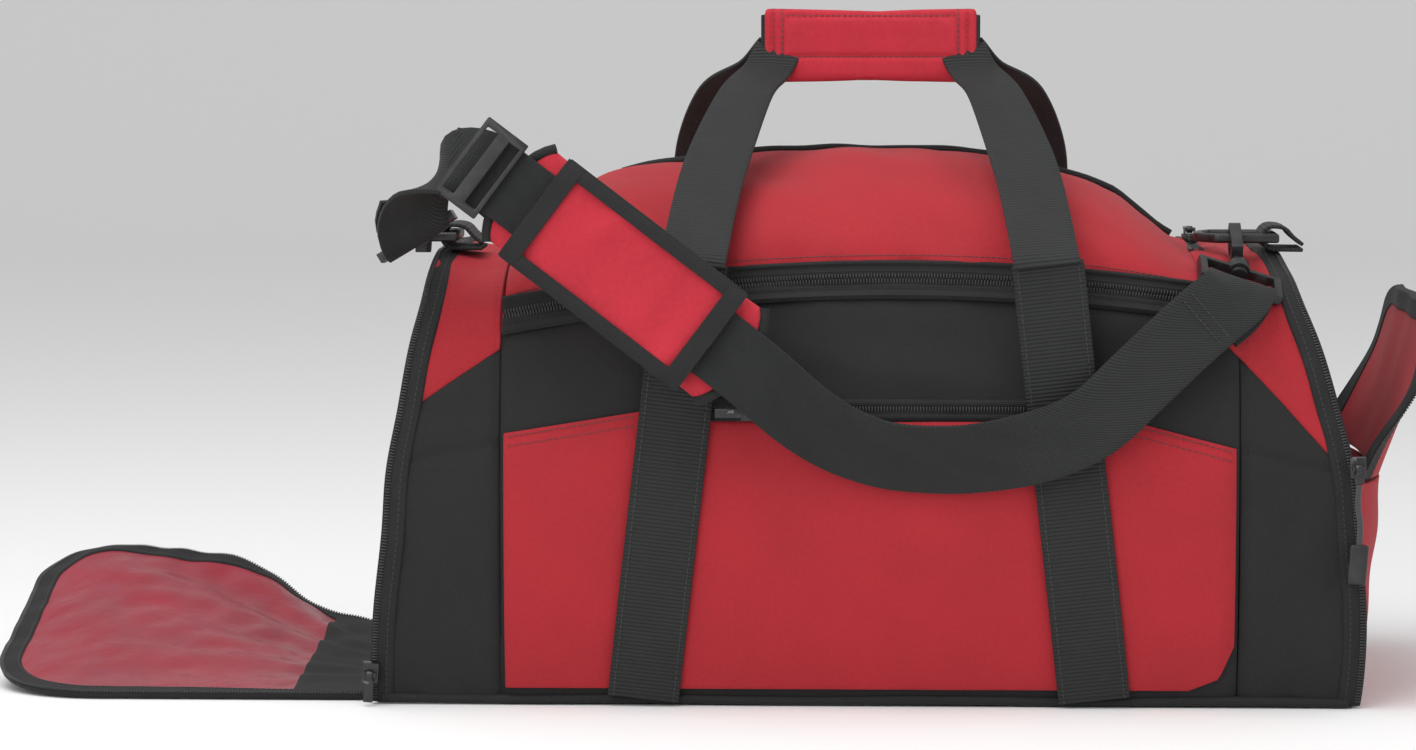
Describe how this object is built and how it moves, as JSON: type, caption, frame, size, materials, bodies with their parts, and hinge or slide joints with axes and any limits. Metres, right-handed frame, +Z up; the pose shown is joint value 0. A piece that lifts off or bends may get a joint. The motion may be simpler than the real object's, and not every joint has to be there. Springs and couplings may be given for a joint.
{
  "type": "sports duffel bag",
  "caption": "Two-colour sports duffel bag with a zipped top lid, open ball pocket, end pocket, webbing handles and a padded shoulder strap.",
  "frame": {"origin": "middle of the flat base, on the floor", "axes": "+X along the bag to the end pocket with the towel opening, +Y to the back, +Z up"},
  "size_m": [0.778, 0.3308, 0.371],
  "materials": {
    "red_fabric": "plain woven polyester, matt",
    "black_fabric": "plain woven polyester, matt",
    "red_vinyl": "coated inside of the polyester, glossy and creased",
    "webbing": "ribbed polypropylene webbing, matt",
    "zip_tape": "knitted tape with nylon coil",
    "pad_foam": "foam in woven cover",
    "board": "sheet under lining",
    "black_plastic": "moulded acetal, satin",
    "zip_metal": "black lacquered die casting",
    "cord": "braided cord"
  },
  "bodies": {
    "bag": {"base_panel": "black_fabric", "base_board": "board", "front_panel": "black_fabric", "back_panel": "black_fabric", "left_divider": "black_fabric", "right_divider": "black_fabric", "left_gusset_front": "black_fabric", "left_gusset_top": "red_fabric", "left_gusset_back": "black_fabric", "right_gusset_front": "black_fabric", "right_gusset_top": "red_fabric", "right_gusset_back": "black_fabric", "left_rim_tape": "zip_tape", "right_rim_tape": "zip_tape", "right_end_wall": "red_fabric", "main_zip_body_tape": "zip_tape", "front_pocket_panel": "red_fabric", "front_pocket_zip": "zip_tape", "front_left_webbing": "webbing", "front_right_webbing": "webbing", "back_left_webbing": "webbing", "back_right_webbing": "webbing", "left_anchor_tab": "webbing", "right_anchor_tab": "webbing", "left_d_ring": "black_plastic", "right_d_ring": "black_plastic"},
    "lid": {"lid_panel": "red_fabric", "main_zip_lid_tape": "zip_tape"},
    "front_handle": {"front_handle_webbing": "webbing", "front_grip": "red_fabric"},
    "back_handle": {"back_handle_webbing": "webbing", "back_grip": "red_fabric"},
    "ball_flap": {"ball_flap_panel": "red_vinyl", "ball_flap_binding": "zip_tape"},
    "end_flap": {"end_flap_panel": "red_fabric", "end_flap_tape": "zip_tape"},
    "strap": {"strap_webbing": "webbing", "pad_base": "pad_foam", "pad_cover": "red_fabric", "tri_glide": "black_plastic", "left_swivel_loop": "black_plastic", "right_swivel_loop": "black_plastic"},
    "left_hook": {"left_hook": "black_plastic"},
    "right_hook": {"right_hook": "black_plastic"},
    "left_gate": {"left_gate": "black_plastic"},
    "right_gate": {"right_gate": "black_plastic"},
    "main_slider": {"main_slider": "zip_metal"},
    "main_pull": {"main_pull": "zip_metal"},
    "front_pocket_slider": {"front_pocket_slider": "zip_metal"},
    "front_pocket_pull": {"front_pocket_pull": "zip_metal"},
    "left_pocket_slider": {"left_pocket_slider": "zip_metal"},
    "left_pocket_pull": {"left_pocket_pull": "zip_metal"},
    "right_pocket_slider": {"right_pocket_slider": "zip_metal"},
    "right_pocket_pull": {"right_pocket_pull": "black_plastic", "right_pocket_cord": "cord", "right_pocket_cord_end": "black_plastic"}
  },
  "joints": [
    {"name": "lid_open", "type": "hinge", "parent": "bag", "child": "lid", "pos_m": [-0.193, 0, 0.243], "axis": [0, -1, 0], "range_deg": [0, 20]},
    {"name": "front_handle_part", "type": "hinge", "parent": "bag", "child": "front_handle", "pos_m": [0, -0.153, 0.24], "axis": [1, 0, 0], "range_deg": [0, 44]},
    {"name": "back_handle_part", "type": "hinge", "parent": "bag", "child": "back_handle", "pos_m": [0, 0.153, 0.24], "axis": [-1, 0, 0], "range_deg": [0, 44]},
    {"name": "ball_flap_close", "type": "hinge", "parent": "bag", "child": "ball_flap", "pos_m": [-0.268, 0, 0.0014], "axis": [0, 1, 0], "range_deg": [0, 90]},
    {"name": "end_flap_swing", "type": "hinge", "parent": "bag", "child": "end_flap", "pos_m": [0.2771, 0, 0.12], "axis": [0, 1, 0], "range_deg": [-30, 100]},
    {"name": "strap_swing", "type": "hinge", "parent": "bag", "child": "strap", "pos_m": [0, -0.072, 0.247], "axis": [-1, 0, 0], "range_deg": [0, 30]},
    {"name": "left_hook_swivel", "type": "hinge", "parent": "strap", "child": "left_hook", "pos_m": [-0.241, -0.072, 0.247], "axis": [0, -0.9982, 0.0599], "range_deg": [-10, 10]},
    {"name": "left_gate_press", "type": "hinge", "parent": "left_hook", "child": "left_gate", "pos_m": [-0.241, -0.08596, 0.24133], "axis": [1, 0, 0], "range_deg": [0, 14], "stiffness_Nm_per_rad": 0.003, "springref_deg": -17.19},
    {"name": "right_hook_swivel", "type": "hinge", "parent": "strap", "child": "right_hook", "pos_m": [0.1965, -0.072, 0.247], "axis": [0, -0.9, -0.436], "range_deg": [-10, 10]},
    {"name": "right_gate_press", "type": "hinge", "parent": "right_hook", "child": "right_gate", "pos_m": [0.1965, -0.08141, 0.23522], "axis": [1, 0, 0], "range_deg": [0, 14], "stiffness_Nm_per_rad": 0.003, "springref_deg": -17.19},
    {"name": "main_zip_slide", "type": "slide", "parent": "bag", "child": "main_slider", "axis": [0, 1, 0], "range_m": [-0.02, 0.03]},
    {"name": "main_pull_lift", "type": "hinge", "parent": "main_slider", "child": "main_pull", "pos_m": [0.1772, 0.006, 0.2476], "axis": [1, 0, 0], "range_deg": [0, 150]},
    {"name": "front_pocket_zip_slide", "type": "slide", "parent": "bag", "child": "front_pocket_slider", "axis": [1, 0, 0], "range_m": [-0.012, 0.135]},
    {"name": "front_pocket_pull_lift", "type": "hinge", "parent": "front_pocket_slider", "child": "front_pocket_pull", "pos_m": [-0.062, -0.1492, 0.1585], "axis": [0, 0, 1], "range_deg": [0, 80]},
    {"name": "left_pocket_zip_slide", "type": "slide", "parent": "bag", "child": "left_pocket_slider", "axis": [0.0889, -0.1284, 0.9877], "range_m": [0, 0.04]},
    {"name": "left_pocket_pull_lift", "type": "hinge", "parent": "left_pocket_slider", "child": "left_pocket_pull", "pos_m": [-0.2655, -0.13874, 0.01711], "axis": [-0.996, -0.0115, 0.0882], "range_deg": [0, 130]},
    {"name": "right_pocket_zip_slide", "type": "slide", "parent": "bag", "child": "right_pocket_slider", "axis": [0.045, 0, -0.999], "range_m": [0, 0.065]},
    {"name": "right_pocket_pull_lift", "type": "hinge", "parent": "right_pocket_slider", "child": "right_pocket_pull", "pos_m": [0.2575, -0.1452, 0.13], "axis": [-0.999, 0, -0.045], "range_deg": [0, 120]}
  ],
  "couplings": [
    {"joint": "front_handle_part", "follows": "lid_open", "ratio": 2.2},
    {"joint": "back_handle_part", "follows": "lid_open", "ratio": 2.2}
  ]
}
